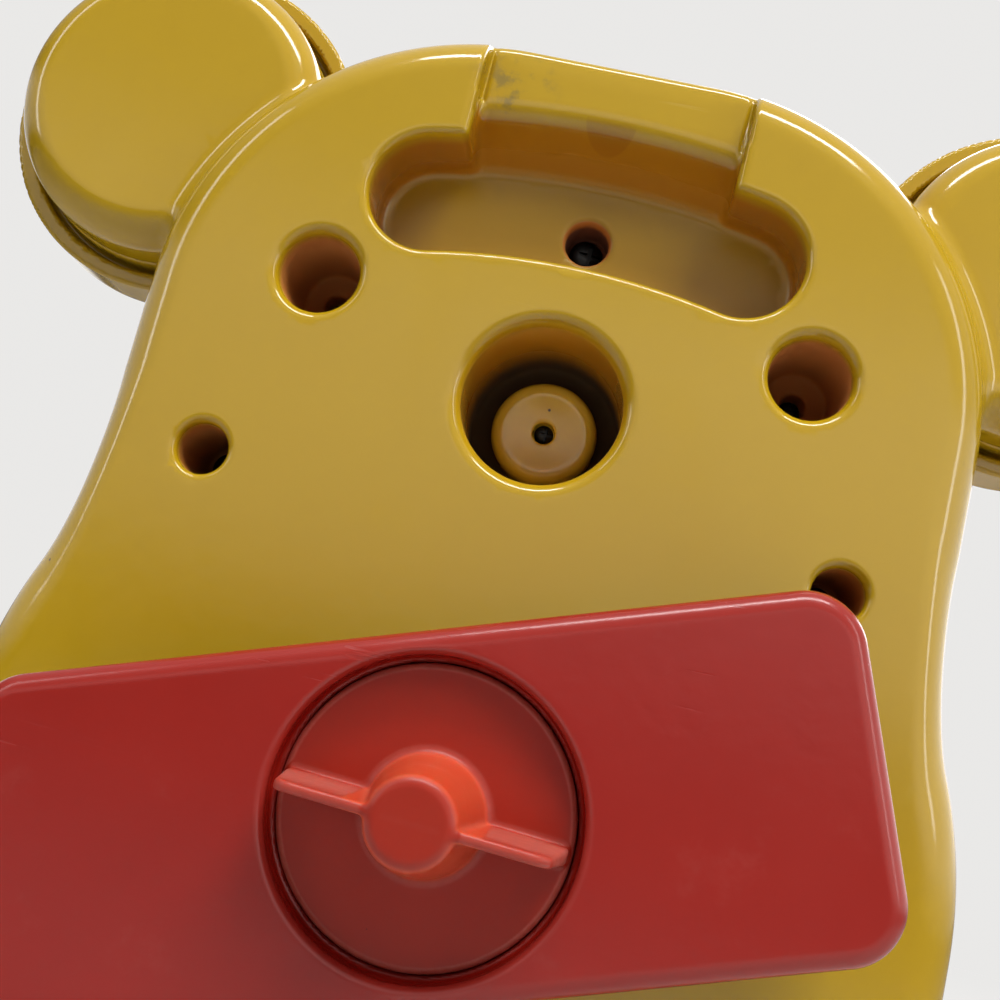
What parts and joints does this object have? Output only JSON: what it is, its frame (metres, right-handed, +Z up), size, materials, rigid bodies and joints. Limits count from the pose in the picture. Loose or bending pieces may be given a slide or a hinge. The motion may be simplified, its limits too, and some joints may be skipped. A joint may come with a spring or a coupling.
{
  "type": "crib activity toy",
  "caption": "Bear-outlined plastic crib toy with a front spinner and squeak button, and a rear clamp bar with a wing knob that grips crib slats.",
  "frame": {"origin": "where the clamp's stud axis meets the flat back face of the housing", "axes": "+Z up the toy towards the head, +Y out of the back along the clamp's stud, -Y out of the front, +X to the right as seen from the front"},
  "size_m": [0.2304, 0.1076, 0.2305],
  "materials": {
    "yellow_shell": "glossy moulded plastic with fine scuffs",
    "yellow_front": "glossy moulded plastic",
    "red_bar": "satin moulded plastic, scuffed",
    "orange_red_knob": "waxy moulded plastic with pale worn edges",
    "red_trim": "glossy moulded plastic",
    "blue_trim": "glossy moulded plastic",
    "white_trim": "glossy moulded plastic",
    "nylon": "natural moulded plastic",
    "bellows_rubber": "soft rubber",
    "steel": "blackened screw steel"
  },
  "bodies": {
    "housing": {"back_shell": "yellow_shell", "front_shell": "yellow_front", "large_well_screws": "steel", "small_well_screws": "steel", "pocket_screw": "steel", "spinner_bush": "nylon", "click_leaf": "nylon", "click_leaf_screw": "steel", "ear_inlay_left": "red_trim", "ear_inlay_right": "red_trim", "button_bezel": "red_trim", "squeaker_bellows": "bellows_rubber", "squeaker_reed": "nylon", "clamp_nut": "nylon"},
    "spinner": {"spinner_dial": "red_trim", "spinner_hub_cap": "white_trim", "axle_cap": "yellow_shell", "axle_screw": "steel", "click_wheel": "nylon"},
    "button": {"squeak_button": "blue_trim"},
    "carrier": {"knob_washer": "nylon"},
    "knob": {"wing_knob": "orange_red_knob", "clamp_stud": "nylon", "stud_clip": "steel"},
    "bar": {"clamp_bar": "red_bar"}
  },
  "joints": [
    {"name": "spinner_turn", "type": "hinge", "parent": "housing", "child": "spinner", "pos_m": [0, 0, 0.0672], "axis": [0, 1, 0], "continuous": true},
    {"name": "button_press", "type": "slide", "parent": "housing", "child": "button", "axis": [0, 1, 0], "range_m": [0, 0.005], "stiffness_N_per_m": 400, "springref_m": -0.003, "deforming": ["squeaker_bellows"]},
    {"name": "clamp_travel", "type": "slide", "parent": "housing", "child": "carrier", "axis": [0, 1, 0], "range_m": [-0.0105, 0.01]},
    {"name": "knob_turn", "type": "hinge", "parent": "carrier", "child": "knob", "pos_m": [0, 0, 0], "axis": [0, 1, 0], "range_deg": [-950, 905]},
    {"name": "bar_swivel", "type": "hinge", "parent": "carrier", "child": "bar", "pos_m": [0, 0, 0], "axis": [0, 1, 0], "continuous": true}
  ],
  "couplings": [
    {"joint": "knob_turn", "follows": "clamp_travel", "rad_per_m": 1570.8}
  ]
}
